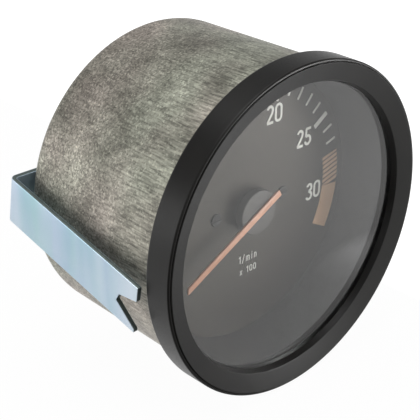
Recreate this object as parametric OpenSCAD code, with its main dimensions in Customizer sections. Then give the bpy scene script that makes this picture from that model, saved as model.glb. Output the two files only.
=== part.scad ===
// Panel tachometer with an 80 mm case, held in its panel by a U-shaped strap.
// The origin is the middle of the bezel's rear seat, where it meets the panel.
// The dial faces -Y, the case runs back along +Y, and +Z is up. Units are mm.

/* [Case] */
// Outer radius of the drawn can
case_r = 40.1; // [38:0.1:60]
// Depth of the can behind the panel
case_depth = 47.3; // [44:0.1:80]
// Thickness of the can's sheet
case_wall = 0.9; // [0.6:0.1:1.2]
// Outer radius of the rounded corner at the back
case_corner_r = 3.4; // [2:0.1:4.5]
// How far the can's front flange stands out
flange_w = 1.2; // [0.8:0.1:1.6]

/* [Bezel] */
// How far the bezel stands out beyond the can
bezel_overhang = 2.4; // [2.2:0.1:4]
// How far the bezel stands in front of the panel
bezel_depth = 7.2; // [6.5:0.1:9]
// Thickness of the spun sheet
bezel_sheet = 0.9; // [0.6:0.1:1.1]
// Width of the bezel's front face
bezel_face_w = 5.8; // [4.5:0.1:7]
// Drop of the front face towards the opening
bezel_dish = 0.9; // [0.3:0.1:1.4]
// Width of the bevel round the front edge
bezel_bevel = 1.1; // [0.5:0.1:1.6]

/* [Glass and dial] */
// Distance from the bezel's front to the glass
glass_drop = 3.95; // [3:0.05:4.2]
// Thickness of the glass
glass_t = 2.05; // [1.5:0.05:2.2]
// Thickness of the gasket's lip behind the glass
gasket_lip = 0.6; // [0.4:0.1:1]
// Depth of the dial's face behind the panel
dial_y = 11.4; // [8.5:0.05:13]
// Thickness of the dial
dial_t = 0.8; // [0.5:0.1:1.2]
// Height of the printed marks above the dial
print_t = 0.1; // [0.05:0.05:0.15]
// Gap from the edge of the visible dial to the scale
scale_margin = 2; // [1.5:0.1:4]
// Length of a short mark
minor_len = 3.4; // [2:0.1:4]
// Width of a short mark
minor_w = 0.65; // [0.4:0.05:1]
// Length of a long mark
major_len = 5.2; // [4:0.1:6]
// Width of a long mark
major_w = 1.3; // [0.8:0.1:1.6]
// Angle from one mark to the next, each for a hundred turns a minute
mark_step = 7.72; // [6:0.01:7.8]
// Number of the first mark
first_mark = 5; // [5:1:10]
// Number of the mark where the hatched band starts
band_start = 28; // [26:1:28]
// Number of the mark where the solid band starts
band_middle = 30; // [29:1:31]
// Number of the mark where the solid band ends
band_end = 33; // [32:1:33]

/* [Pointer] */
// Angle of the pointer at rest, clockwise from the top
rest_angle = -118; // [-125:1:-110]
// Length from the spindle to the pointer's tip
pointer_tip_r = 27.5; // [22:0.1:28.5]
// Length from the spindle to the pointer's tail
pointer_tail_r = 7.7; // [6:0.1:9]
// Width of the pointer at its tail
pointer_w = 1.9; // [1.4:0.1:2.4]
// Thickness of the pointer
pointer_t = 0.6; // [0.4:0.1:0.9]
// Height of the pointer's front above the dial
pointer_lift = 4; // [3.6:0.1:4.6]
// Radius of the pointer's hub
hub_r = 5.9; // [4.5:0.1:6.4]
// Thickness of the pointer's hub
hub_t = 2.2; // [1.6:0.1:2.4]

/* [Movement] */
// Radius of the spindle
spindle_r = 0.5; // [0.4:0.05:0.6]
// Radius of the magnet on the spindle
rotor_r = 6; // [5:0.1:6.1]
// Thickness of the magnet on the spindle
rotor_t = 4; // [3:0.1:4.4]
// Radius of the coil former
former_r = 7.8; // [7.6:0.1:8.4]
// Height of the coil former
former_h = 8.4; // [7.6:0.1:9]
// Thickness of a coil's winding
coil_t = 1.2; // [0.8:0.1:1.2]
// Width of each half of a coil
coil_w = 3.4; // [2.4:0.1:3.6]
// Inner radius of the steel cup round the coils
cup_r = 12.5; // [12.2:0.1:12.9]
// Thickness of the steel cup
cup_wall = 0.5; // [0.3:0.1:0.8]
// Radius of the movement's front plate
plate_r = 18; // [17.5:0.1:19]
// Thickness of the movement's front plate
plate_t = 1.6; // [1.2:0.1:2]
// Gap from the dial's back to the movement's front plate
plate_gap = 2.9; // [2.8:0.1:3.2]
// Distance of the dial screws from the middle
dial_screw_x = 11.5; // [10.5:0.1:13]
// Height of the dial screws above the middle
dial_screw_z = 0.7; // [0:0.1:2]
// Turns of the hairspring
hairspring_turns = 3.5; // [2.5:1:4.5]

/* [Electronics] */
// Thickness of the circuit board
board_t = 1.6; // [1:0.1:2]
// Gap from the steel cup to the circuit board
board_gap = 3; // [2:0.1:4]
// Radius of the posts that hold the board to the case
post_r = 2.75; // [2.4:0.05:3.2]

/* [Terminals and lamp] */
// Distance between the terminal blades
blade_pitch = 8; // [6:0.1:9]
// Width of a terminal blade
blade_w = 6.3; // [4.8:0.1:6.3]
// Thickness of a terminal blade
blade_t = 0.8; // [0.5:0.1:0.8]
// How far the blades stand out of their block
blade_out = 8; // [7:0.1:10]
// Radius of the lamp holder's body
lamp_r = 6; // [5.8:0.1:6.6]
// Radius of the lamp's glass
bulb_r = 4.9; // [4:0.1:5.1]

/* [Clamp strap] */
// Distance between the two studs
stud_spacing = 32; // [28:0.5:40]
// Height of the studs above the middle
stud_z = 2.7; // [0:0.1:3]
// Radius of a stud
stud_r = 2; // [1.5:0.1:2.4]
// Length of a stud behind the case
stud_out = 20; // [18:0.1:26]
// Width of the strap
strap_w = 12.4; // [11:0.1:15]
// Thickness of the strap
strap_t = 1.3; // [1:0.1:2]
// Gap from the case to the strap's legs
leg_gap = 2.7; // [1.4:0.1:4]
// Lean of the loosely fitted strap
strap_tilt = 11.7; // [0:0.1:12]
// Gap from the bezel's seat to the legs' front ends
leg_tip_gap = 0.6; // [0.4:0.1:3]
// Inner radius of the strap's bends
bend_in_r = 0.5; // [0.3:0.1:1.5]
// Depth of the notch in each leg
notch_depth = 6.4; // [4:0.1:8]
// Radius of the knurled nuts
nut_r = 5.5; // [5:0.1:6.5]
// Height of the knurled nuts
nut_h = 5; // [4:0.1:5.5]

/* [Clearances] */
// Radial gap of a running fit
run_gap = 0.05; // [0.02:0.01:0.08]
// Radial gap round what is pressed or screwed in
fit_gap = 0.05; // [0.02:0.01:0.1]
// Gap between pieces that lie beside each other
lay_gap = 0.2; // [0.1:0.05:0.3]

/* [Hidden] */
$fn = 96;

// Depths along Y, from the front to the back
bezel_y = -bezel_depth;
glass_y = bezel_y + glass_drop;
glass_back_y = glass_y + glass_t;
gasket_back_y = glass_back_y + gasket_lip;
dial_back_y = dial_y + dial_t;
pointer_y = dial_y - pointer_lift;
hub_y = pointer_y + pointer_t;
plate_y = dial_back_y + plate_gap;
cup_y = plate_y + plate_t;
coil_gap = 0.2;
former_y = cup_y + 2 * coil_t + 2 * coil_gap + 1.2;
former_back_y = former_y + former_h;
cup_back_y = former_back_y + 2 * coil_t + 2 * coil_gap + 1.6;
board_y = cup_back_y + cup_wall + board_gap;
board_back_y = board_y + board_t;
inside_y = case_depth - case_wall;

// Radii
case_in_r = case_r - case_wall;
flange_r = case_r + flange_w;
bezel_r = case_r + bezel_overhang;
opening_r = bezel_r - bezel_face_w;
wall_r = opening_r - 0.3;
glass_r = case_in_r - 0.3;
gasket_r = flange_r - lay_gap;
ring_r = case_in_r - lay_gap;
ring_front_r = wall_r - 0.2;
ring_dial_r = ring_front_r - 1.5;
box_wall = 1.2;
box_in_r = ring_r - box_wall;
dial_hole_r = 2;
print_out_r = ring_dial_r - scale_margin;
band_in_r = print_out_r - major_len - 0.3;
scale_middle = 25;
scale_middle_angle = 55.9;

// Movement
hub_rim = 0.7;
hub_roof = 0.8;
end_play = 0.1;
plate_hole_r = 3;
boss_r = 2.6;
screw_r = 1;
hub_tube_r = 1.8;
bush_r = 1.2;
rotor_gap = 0.4;
post_circle_r = plate_r - 2.8;
movement_post_r = 1.8;
hairspring_y = dial_back_y + 1.2;
hairspring_h = 0.4;
hairspring_w = 0.12;
hairspring_in_r = 1.3;
hairspring_out_r = 5;
collet_r = 1.2;
arm_y = hairspring_y + hairspring_h + 0.4;
arm_r = 6.5;
arm_w = 1.2;
stop_circle_r = 6;
stop_pin_r = 0.5;
stop_gap = 0.1;
stop_offset = asin((arm_w / 2 + stop_pin_r + stop_gap) / stop_circle_r);

// Electronics
board_r = box_in_r - 3.5;
case_post_circle_r = board_r - 4.5;
case_post_angles = [120, 180, 240];
lamp_z = case_r - 16.1;
board_top_z = lamp_z - lamp_r - 3;
terminal_z = -(case_r - 20.1);
lamp_holder_in = 7;
lamp_socket_depth = 5;
lamp_front_y = case_depth - lamp_holder_in;
lamp_floor_y = lamp_front_y + lamp_socket_depth;
lamp_contact_x = 3.4;
lamp_contact_w = 4.8;
bulb_len = 19;
bulb_foot_half_w = bulb_r - 0.8;
bulb_foot_t = 2.2;
block_w = 3 * blade_pitch + 9.6;
block_h = blade_w + 2.3;
block_out = 3;
blade_pin_w = 1.4;

// Clamp
half_strap = strap_w / 2;
bar_touch_gap = 0.4;
bar_y = case_depth + bar_touch_gap + half_strap * sin(strap_tilt);
leg_in_x = case_r + leg_gap;
leg_out_x = leg_in_x + strap_t;
bend_r = bend_in_r + strap_t;
lower_lead = 0.6;
leg_len = strap_t + (bar_y - half_strap * sin(strap_tilt) - leg_tip_gap) / cos(strap_tilt);
strap_hole_r = stud_r + 0.5;
washer_r = nut_r - 0.5;
washer_t = 0.8;
washer_y = bar_y + strap_t * cos(strap_tilt) + washer_r * sin(strap_tilt) + lay_gap / 2;
nut_y = washer_y + washer_t + lay_gap / 4;
stud_head_r = 4;
stud_head_t = 1.2;

// Angle of a mark, clockwise from the top of the dial
function mark_angle(n) = scale_middle_angle + (n - scale_middle) * mark_step;

// Turns a profile of radius and depth round the Y axis
module turned() {
    rotate([-90, 0, 0])
        rotate_extrude()
            children();
}

// Round rod along +Y, from y0 to y1
module rod(r, y0, y1) {
    translate([0, y0, 0])
        rotate([-90, 0, 0])
            cylinder(h = y1 - y0, r = r);
}

// Tube along +Y, from y0 to y1
module tube(r_out, r_in, y0, y1) {
    difference() {
        rod(r_out, y0, y1);
        rod(r_in, y0 - 1, y1 + 1);
    }
}

// Places a piece at a clock angle and radius on the dial
module at_clock(angle, radius) {
    translate([radius * sin(angle), 0, radius * cos(angle)])
        children();
}

// Plain screw with a slotted head in front of y and a shank behind it
module slotted_screw(head_r, head_t, shank_r, y, length) {
    slot_w = head_r * 0.28;
    difference() {
        union() {
            rod(head_r, y - head_t, y);
            rod(shank_r, y - head_t / 2, y + length);
        }
        translate([-head_r, y - head_t - 1, -slot_w / 2])
            cube([2 * head_r, 1 + head_t * 0.45, slot_w]);
    }
}

// Positions of the two dial screws, which also hold the movement's front plate
module at_dial_screws() {
    for (side = [-1, 1])
        translate([side * dial_screw_x, 0, dial_screw_z])
            children();
}

// Positions of the four posts between the movement's plate and the board
module at_movement_posts() {
    for (angle = [45 : 90 : 315])
        at_clock(angle, post_circle_r)
            children();
}

// Positions of the three posts between the board and the case
module at_case_posts() {
    for (angle = case_post_angles)
        at_clock(angle, case_post_circle_r)
            children();
}

// Positions of the two studs
module at_studs() {
    for (side = [-1, 1])
        translate([side * stud_spacing / 2, 0, stud_z])
            children();
}

// Deep-drawn steel can with an outward flange, pierced at the back
module case() {
    inner_corner = case_corner_r - case_wall;
    flange_y = -2 * bezel_sheet;
    color("#8e8b82")
        difference() {
            turned()
                difference() {
                    union() {
                        translate([0, flange_y])
                            square([case_r, case_depth - flange_y - case_corner_r]);
                        translate([0, flange_y])
                            square([case_r - case_corner_r, case_depth - flange_y]);
                        translate([case_r - case_corner_r, case_depth - case_corner_r])
                            circle(case_corner_r);
                        translate([0, flange_y])
                            square([flange_r, case_wall]);
                    }
                    translate([-1, flange_y - 1])
                        square([case_in_r + 1, inside_y - flange_y + 1 - inner_corner]);
                    translate([-1, flange_y])
                        square([case_in_r + 1 - inner_corner, inside_y - flange_y]);
                    translate([case_in_r - inner_corner, inside_y - inner_corner])
                        circle(inner_corner);
                    translate([-case_r - 1, flange_y - 1])
                        square([case_r + 1, case_depth + 10]);
                }
            at_studs()
                rod(stud_r + fit_gap, inside_y - 1, case_depth + 1);
            translate([0, 0, lamp_z])
                rod(lamp_r + run_gap, inside_y - 1, case_depth + 1);
            translate([-block_w / 2 - fit_gap, inside_y - 1, terminal_z - block_h / 2 - fit_gap])
                cube([block_w + 2 * fit_gap, case_wall + 2, block_h + 2 * fit_gap]);
            at_case_posts()
                rod(screw_r + 0.4, inside_y - 1, case_depth + 1);
        }
}

// Spun steel bezel, rolled behind the can's flange to hold glass, gasket and can together
module bezel() {
    sheet = bezel_sheet;
    lip_r = case_r + 0.3;
    skirt_front_r = bezel_r - 0.15;
    front_r = bezel_r - 0.5 - bezel_bevel;
    color("#1c1b19")
        turned()
            polygon([
                [lip_r, 0],
                [bezel_r - 0.8, 0],
                [bezel_r - 0.25, -0.2],
                [bezel_r, -0.8],
                [skirt_front_r, bezel_y + 2.2],
                [bezel_r - 0.55, bezel_y + 1.9],
                [bezel_r - 0.55, bezel_y + 1.3],
                [bezel_r - 0.35, bezel_y + 1.1],
                [bezel_r - 0.5, bezel_y + 0.65],
                [front_r, bezel_y],
                [opening_r + 0.3, bezel_y + bezel_dish * 0.93],
                [opening_r, bezel_y + bezel_dish + 0.25],
                [wall_r, glass_y],
                [wall_r + sheet, glass_y],
                [opening_r + sheet, bezel_y + bezel_dish + sheet],
                [front_r - 0.3, bezel_y + sheet + 0.15],
                [bezel_r - 0.55 - sheet * 0.7, bezel_y + sheet + 0.7],
                [bezel_r - sheet, bezel_y + 2.6],
                [bezel_r - sheet, -sheet],
                [lip_r, -sheet]
            ]);
}

// Flat glass
module glass() {
    color("#dfe6e6", 0.3)
        rod(glass_r, glass_y, glass_back_y);
}

// Rubber ring round the glass, with a lip behind it
module glass_gasket() {
    flange_front_y = -2 * bezel_sheet;
    color("#2a2a29")
        turned()
            polygon([
                [wall_r - 0.2, glass_back_y],
                [glass_r + fit_gap, glass_back_y],
                [glass_r + fit_gap, glass_y + fit_gap],
                [gasket_r, glass_y + fit_gap],
                [gasket_r, flange_front_y],
                [case_in_r - 0.05, flange_front_y],
                [case_in_r - 0.05, gasket_back_y],
                [wall_r - 0.2, gasket_back_y]
            ]);
}

// Black moulded ring between the glass and the dial, tapering inwards
module spacer_ring() {
    color("#3f3e3b")
        turned()
            polygon([
                [ring_front_r, gasket_back_y],
                [ring_r, gasket_back_y],
                [ring_r, dial_y],
                [ring_dial_r, dial_y]
            ]);
}

// Aluminium dial
module dial() {
    color("#4a4946")
        difference() {
            rod(ring_r, dial_y, dial_back_y);
            rod(dial_hole_r, dial_y - 1, dial_back_y + 1);
            at_dial_screws()
                rod(screw_r + 0.1, dial_y - 1, dial_back_y + 1);
        }
}

// One straight mark of the scale, on the dial's face
module scale_mark(angle, width, length) {
    rotate([0, angle, 0])
        translate([-width / 2, dial_y - print_t, print_out_r - length])
            cube([width, print_t, length]);
}

// White marks, one for each hundred turns a minute and a long one at every fifth
module dial_scale() {
    color("#d8d8d4")
        for (n = [first_mark : band_start - 1])
            scale_mark(mark_angle(n), n % 5 == 0 ? major_w : minor_w, n % 5 == 0 ? major_len : minor_len);
}

// Flat part of the orange band, between two angles
module band_sector(from_angle, to_angle) {
    rotate([-90, 0, 0])
        rotate([0, 0, from_angle - 90])
            translate([0, 0, dial_y - print_t])
                rotate_extrude(angle = to_angle - from_angle)
                    translate([band_in_r, 0])
                        square([print_out_r - band_in_r, print_t]);
}

// Orange band of the speeds to avoid, hatched with parallel stripes first and then solid
module dial_warning_band() {
    stripes = 7;
    stripe_gap = 0.42;
    hatch_start = mark_angle(band_start) - 1.1;
    hatch_end = mark_angle(band_middle) + 0.2;
    solid_start = hatch_end + 0.5;
    stripe_angle = hatch_start - 2.9;
    middle_r = (print_out_r + band_in_r) / 2;
    first_x = middle_r * sin(hatch_start - stripe_angle);
    last_x = middle_r * sin(hatch_end - stripe_angle);
    stripe_pitch = (last_x - first_x) / (stripes - 0.4);
    stripe_w = stripe_pitch - stripe_gap;
    color("#c4763c") {
        band_sector(solid_start, mark_angle(band_end));
        for (i = [0 : stripes - 1])
            intersection() {
                band_sector(hatch_start, hatch_end);
                rotate([0, stripe_angle, 0])
                    translate([first_x + (i + 0.2) * stripe_pitch - stripe_w / 2, dial_y - 2 * print_t, 0])
                        cube([stripe_w, 3 * print_t, print_out_r + 1]);
            }
    }
}

// Two slotted screws that hold the dial to the movement
module dial_screws() {
    color("#8c8c88")
        at_dial_screws()
            slotted_screw(1.7, 0.5, screw_r - fit_gap, dial_y, dial_t + plate_gap + plate_t - 0.4);
}

// White moulded drum behind the dial, which spreads the lamp's light
module light_box() {
    corner = case_corner_r - case_wall;
    foot_w = 2;
    color("#e8e6dc")
        turned()
            polygon([
                [box_in_r - 1.6, dial_back_y],
                [ring_r, dial_back_y],
                [ring_r, inside_y - corner],
                [ring_r - corner, inside_y],
                [ring_r - corner - foot_w, inside_y],
                [box_in_r, inside_y - corner - box_wall],
                [box_in_r, dial_back_y + box_wall],
                [box_in_r - 1.6, dial_back_y + box_wall]
            ]);
}

// Moulded front plate of the movement, with a boss for each dial screw
module movement_plate() {
    color("#d9d5c8")
        difference() {
            union() {
                rod(plate_r, plate_y, cup_y);
                at_dial_screws()
                    rod(boss_r, dial_back_y, cup_y);
            }
            rod(plate_hole_r, plate_y - 1, cup_y + 1);
            at_dial_screws()
                rod(screw_r, dial_back_y - 1, cup_y + 1);
            at_clock(rest_angle + 180 - stop_offset, stop_circle_r)
                rod(stop_pin_r + fit_gap, plate_y - 1, cup_y + 1);
            at_clock(-rest_angle - 180 + stop_offset, stop_circle_r)
                rod(stop_pin_r + fit_gap, plate_y - 1, cup_y + 1);
            at_clock(0, hairspring_out_r + 0.6)
                rod(stop_pin_r + fit_gap, plate_y - 1, cup_y + 1);
        }
}

// Two pins that stop the arm on the spindle at the ends of its sweep
module stop_pins() {
    color("#b9b9b4")
        for (angle = [rest_angle + 180 - stop_offset, -rest_angle - 180 + stop_offset])
            at_clock(angle, stop_circle_r)
                rod(stop_pin_r, arm_y - 0.2, cup_y - 0.2);
}

// Pin that holds the outer end of the hairspring
module spring_stud() {
    color("#c8a552")
        at_clock(0, hairspring_out_r + 0.6)
            rod(stop_pin_r, hairspring_y - 0.2, cup_y - 0.2);
}

// Flat spiral spring that brings the pointer back to rest
module hairspring() {
    steps = round(24 * hairspring_turns);
    growth = (hairspring_out_r - hairspring_in_r) / steps;
    function spiral_r(i) = hairspring_in_r + i * growth;
    function spiral_a(i) = 90 + (i - steps) * 15;
    function spiral_point(i, side) =
        (spiral_r(i) + side * hairspring_w / 2) * [cos(spiral_a(i)), sin(spiral_a(i))];
    least_gap = (hairspring_out_r - hairspring_in_r) / hairspring_turns - hairspring_w;
    echo(least_gap_between_turns = least_gap);
    color("#b78a4a")
        translate([0, hairspring_y + hairspring_h, 0])
            rotate([90, 0, 0])
                linear_extrude(hairspring_h)
                    polygon(concat(
                        [for (i = [0 : steps]) spiral_point(i, 1)],
                        [for (i = [steps : -1 : 0]) spiral_point(i, -1)]
                    ));
}

// Half of the moulded coil former: a cup round the magnet with a tube for its bush
module former_half(y_split, y_face, y_tube) {
    way = y_face > y_split ? 1 : -1;
    cavity_y = y_split + (rotor_t / 2 + rotor_gap) * way;
    difference() {
        union() {
            rod(former_r, min(y_split, y_face), max(y_split, y_face));
            rod(hub_tube_r, min(y_split, y_tube), max(y_split, y_tube));
        }
        rod(rotor_r + rotor_gap, min(y_split - way, cavity_y), max(y_split - way, cavity_y));
        rod(bush_r + fit_gap, min(y_split, y_tube + way), max(y_split, y_tube + way));
    }
}

// Front half of the coil former
module coil_former_front() {
    color("#3b3a38")
        former_half(former_y + former_h / 2, former_y, cup_y);
}

// Rear half of the coil former
module coil_former_rear() {
    color("#3b3a38")
        former_half(former_y + former_h / 2, former_back_y, cup_back_y);
}

// One frame-shaped half winding round the former, seen along X, with rounded corners
module winding(inner_z, inner_y0, inner_y1, thick, side) {
    corner = 0.6;
    translate([side > 0 ? hub_tube_r + coil_gap : -hub_tube_r - coil_gap - coil_w, 0, 0])
        rotate([90, 0, 90])
            linear_extrude(coil_w)
                difference() {
                    translate([inner_y0 - thick, -inner_z - thick])
                        square([inner_y1 - inner_y0 + 2 * thick, 2 * inner_z + 2 * thick]);
                    translate([inner_y0, -inner_z])
                        square([inner_y1 - inner_y0, 2 * inner_z]);
                    for (y = [inner_y0 - thick, inner_y1 + thick])
                        for (z = [-inner_z - thick, inner_z + thick])
                            translate([y, z])
                                rotate(45)
                                    square(corner * 1.2, center = true);
                }
}

// Inner coil, in two halves on either side of the spindle
module inner_coil() {
    color("#b5652b")
        rotate([0, 90, 0])
            for (side = [-1, 1])
                winding(former_r + coil_gap, former_y - coil_gap, former_back_y + coil_gap, coil_t, side);
}

// Outer coil, wound across the inner one
module outer_coil() {
    over = coil_t + 2 * coil_gap;
    color("#c2703a")
        for (side = [-1, 1])
            winding(former_r + coil_gap, former_y - over, former_back_y + over, coil_t, side);
}

// Steel cup that shields the coils
module steel_cup() {
    color("#9aa0a2")
        difference() {
            rod(cup_r + cup_wall, cup_y, cup_back_y + cup_wall);
            rod(cup_r, cup_y - 1, cup_back_y);
            rod(bush_r + fit_gap, cup_back_y - 1, cup_back_y + cup_wall + 1);
        }
}

// Brass bush for the front of the spindle
module front_bush() {
    color("#c8a552")
        tube(bush_r, spindle_r + run_gap, cup_y, former_y - 0.4);
}

// Brass bush for the rear of the spindle, closed behind it
module rear_bush() {
    color("#c8a552")
        difference() {
            rod(bush_r, former_back_y + 0.4, cup_back_y + cup_wall);
            rod(spindle_r + run_gap, former_back_y - 1, cup_back_y);
        }
}

// Four posts that carry the movement on the circuit board
module movement_posts() {
    color("#d9d5c8")
        at_movement_posts()
            difference() {
                rod(movement_post_r, cup_y, board_y);
                rod(screw_r, board_y - 6, board_y + 1);
            }
}

// Screws from the board into the movement's posts
module movement_screws() {
    color("#8c8c88")
        mirror([0, 1, 0])
            at_movement_posts()
                slotted_screw(1.7, 1, screw_r - fit_gap, -board_back_y, board_t + 5);
}

// Circuit board with a flat top edge that leaves room for the lamp
module circuit_board() {
    color("#3f6b3f")
        difference() {
            rod(board_r, board_y, board_back_y);
            translate([-board_r - 1, board_y - 1, board_top_z])
                cube([2 * board_r + 2, board_t + 2, 2 * board_r]);
            at_movement_posts()
                rod(screw_r + 0.1, board_y - 1, board_back_y + 1);
            at_case_posts()
                rod(screw_r + 0.1, board_y - 1, board_back_y + 1);
            at_blades()
                translate([-blade_t / 2 - 0.1, board_y - 1, -blade_pin_w / 2 - 0.1])
                    cube([blade_t + 0.2, board_t + 2, blade_pin_w + 0.2]);
        }
}

// Chip that turns the speed signal into the coils' currents
module converter_chip() {
    chip = [9.9, 1.6, 3.9];
    leg = 0.4;
    pins = 8;
    pin_pitch = 1.2;
    chip_z = terminal_z + 5;
    color("#262626")
        translate([-chip[0] / 2, board_y - leg - chip[1], chip_z - chip[2] / 2])
            cube(chip);
    color("#b9b9b4")
        for (i = [0 : pins - 1])
            translate([(i - (pins - 1) / 2) * pin_pitch - leg / 2, board_y - leg, chip_z - chip[2] / 2])
                cube([leg, leg, chip[2]]);
}

// Two electrolytic capacitors that stand on the board
module capacitors() {
    can_r = 4;
    can_h = 10;
    color("#2f3a55")
        for (side = [-1, 1])
            translate([side * (plate_r + 6), 0, -4])
                rod(can_r, board_y - can_h, board_y);
}

// Four resistors that lie on the board
module resistors() {
    body_r = 1.1;
    body_len = 6;
    lead_r = 0.3;
    color("#c9b48a")
        for (side = [-1, 1])
            for (z = [5, 9])
                translate([side * (plate_r + 4), board_y - body_r - lay_gap, z])
                    union() {
                        rotate([0, 90, 0])
                            cylinder(h = body_len, r = body_r, center = true);
                        for (lead = [-1, 1])
                            translate([lead * (body_len / 2 - 0.6), 0, 0])
                                rod(lead_r, 0, body_r + lay_gap);
                    }
}

// Three threaded posts between the board and the back of the case
module case_posts() {
    color("#a9a9a4")
        at_case_posts()
            tube(post_r, screw_r, board_back_y, inside_y);
}

// Screws from the board into the case's posts
module board_screws() {
    color("#8c8c88")
        at_case_posts()
            slotted_screw(1.8, 1, screw_r - fit_gap, board_y, board_t + 2.5);
}

// Three screws through the back of the case
module case_screws() {
    color("#8c8c88")
        mirror([0, 1, 0])
            at_case_posts()
                slotted_screw(2.4, 1.4, screw_r - fit_gap, -case_depth, case_wall + 2.5);
}

// Positions of the terminal blades
module at_blades() {
    for (i = [-1.5 : 1 : 1.5])
        translate([i * blade_pitch, 0, terminal_z])
            children();
}

// Moulded block that carries the terminals through the back of the case
module terminal_block() {
    lip = 1.8;
    lip_t = 1.2;
    color("#1f1f1e")
        difference() {
            union() {
                translate([-block_w / 2, inside_y - lip_t, terminal_z - block_h / 2])
                    cube([block_w, lip_t + case_wall + block_out, block_h]);
                translate([-block_w / 2 - lip, inside_y - lip_t, terminal_z - block_h / 2 - lip])
                    cube([block_w + 2 * lip, lip_t, block_h + 2 * lip]);
            }
            at_blades()
                translate([-blade_t / 2 - fit_gap, inside_y - lip_t - 1, -blade_w / 2 - fit_gap])
                    cube([blade_t + 2 * fit_gap, lip_t + case_wall + block_out + 2, blade_w + 2 * fit_gap]);
        }
}

// Four tinned blades, each with a narrow pin to the board
module terminal_blades() {
    blade_back_y = case_depth + block_out + blade_out;
    tip = 1.2;
    shoulder_y = inside_y - 1.2;
    color("#b9b9b4")
        at_blades()
            difference() {
                translate([-blade_t / 2, 0, 0])
                    rotate([90, 0, 90])
                        linear_extrude(blade_t)
                            polygon([
                                [board_y - 0.6, -blade_pin_w / 2],
                                [board_y - 0.6, blade_pin_w / 2],
                                [shoulder_y, blade_pin_w / 2],
                                [shoulder_y, blade_w / 2],
                                [blade_back_y - tip, blade_w / 2],
                                [blade_back_y, blade_w / 2 - tip],
                                [blade_back_y, -blade_w / 2 + tip],
                                [blade_back_y - tip, -blade_w / 2],
                                [shoulder_y, -blade_w / 2],
                                [shoulder_y, -blade_pin_w / 2]
                            ]);
                translate([-blade_t, blade_back_y - 4, 0])
                    rotate([0, 90, 0])
                        cylinder(h = 2 * blade_t, r = 0.8);
            }
}

// Two studs with flat heads inside the case
module studs() {
    color("#c9ccd0")
        at_studs() {
            rod(stud_head_r, inside_y - stud_head_t, inside_y);
            rod(stud_r, inside_y - stud_head_t / 2, case_depth + stud_out);
        }
}

// Flat pointer with a slightly narrower tip, cut at an angle
module pointer() {
    tip_w = pointer_w * 0.85;
    color("#e07848")
        rotate([0, rest_angle, 0])
            translate([0, hub_y, 0])
                rotate([90, 0, 0])
                    linear_extrude(pointer_t)
                        polygon([
                            [-pointer_w / 2, -pointer_tail_r],
                            [pointer_w / 2, -pointer_tail_r],
                            [tip_w / 2, pointer_tip_r - tip_w * 0.5],
                            [-tip_w / 2, pointer_tip_r]
                        ]);
}

// Moulded hub that presses onto the spindle, hollow behind
module pointer_hub() {
    neck_r = 1.3;
    color("#4a4946")
        difference() {
            rod(hub_r, hub_y, hub_y + hub_t);
            difference() {
                rod(hub_r - hub_rim, hub_y + hub_roof, hub_y + hub_t + 1);
                rod(neck_r, hub_y, hub_y + hub_t + 1);
            }
            rod(spindle_r + fit_gap / 2, hub_y + hub_roof / 2, hub_y + hub_t + 1);
        }
}

// Brass half ring in the hub, on the tail's side, that balances the pointer
module counterweight() {
    inner_r = 2.6;
    weight_t = 0.8;
    color("#c8a552")
        rotate([-90, 0, 0])
            rotate([0, 0, rest_angle])
                translate([0, 0, hub_y + 0.8])
                    rotate_extrude(angle = 180)
                        translate([inner_r, 0])
                            square([hub_r - hub_rim - fit_gap - inner_r, weight_t]);
}

// Steel spindle
module spindle() {
    color("#c9ccd0")
        rod(spindle_r, hub_y + hub_roof / 2 + fit_gap, cup_back_y - end_play);
}

// Magnet disc that follows the coils' field
module rotor_magnet() {
    middle_y = former_y + former_h / 2;
    color("#50545a")
        tube(rotor_r, spindle_r + fit_gap / 2, middle_y - rotor_t / 2, middle_y + rotor_t / 2);
}

// Brass collet that holds the inner end of the hairspring
module spring_collet() {
    color("#c8a552")
        tube(collet_r, spindle_r + fit_gap / 2, hairspring_y - 0.3, hairspring_y + hairspring_h + 0.3);
}

// Arm on the spindle that meets the stop pins
module stop_arm() {
    arm_t = 0.4;
    color("#b9b9b4")
        difference() {
            union() {
                rod(collet_r, arm_y, arm_y + arm_t);
                rotate([0, rest_angle + 180, 0])
                    translate([-arm_w / 2, arm_y, 0])
                        cube([arm_w, arm_t, arm_r]);
            }
            rod(spindle_r + fit_gap / 2, arm_y - 1, arm_y + 1);
        }
}

// Push-in lamp holder with a flange outside the case
module lamp_holder() {
    flange_t = 1.5;
    flange_w = 2;
    slot_w = 2 * bulb_foot_half_w + 2 * lay_gap;
    slot_t = bulb_foot_t + 2 * lay_gap;
    contact_slot_t = blade_t + 2 * fit_gap;
    contact_slot_w = lamp_contact_w + 2 * fit_gap;
    color("#2b2b2a")
        translate([0, 0, lamp_z])
            difference() {
                union() {
                    rod(lamp_r, lamp_front_y, case_depth + flange_t);
                    rod(lamp_r + flange_w, case_depth, case_depth + flange_t);
                }
                translate([-slot_w / 2, lamp_front_y - 1, -slot_t / 2])
                    cube([slot_w, lamp_socket_depth + 1, slot_t]);
                for (x = [-lamp_contact_x, lamp_contact_x])
                    translate([x - contact_slot_t / 2, lamp_floor_y - 0.1, -contact_slot_w / 2])
                        cube([contact_slot_t, lamp_holder_in, contact_slot_w]);
            }
}

// Two blades in the lamp holder
module lamp_contacts() {
    contact_len = case_depth + blade_out - lamp_floor_y;
    color("#b9b9b4")
        translate([0, 0, lamp_z])
            for (side = [-1, 1])
                translate([side * lamp_contact_x - blade_t / 2, lamp_floor_y, -lamp_contact_w / 2])
                    cube([blade_t, contact_len, lamp_contact_w]);
}

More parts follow.
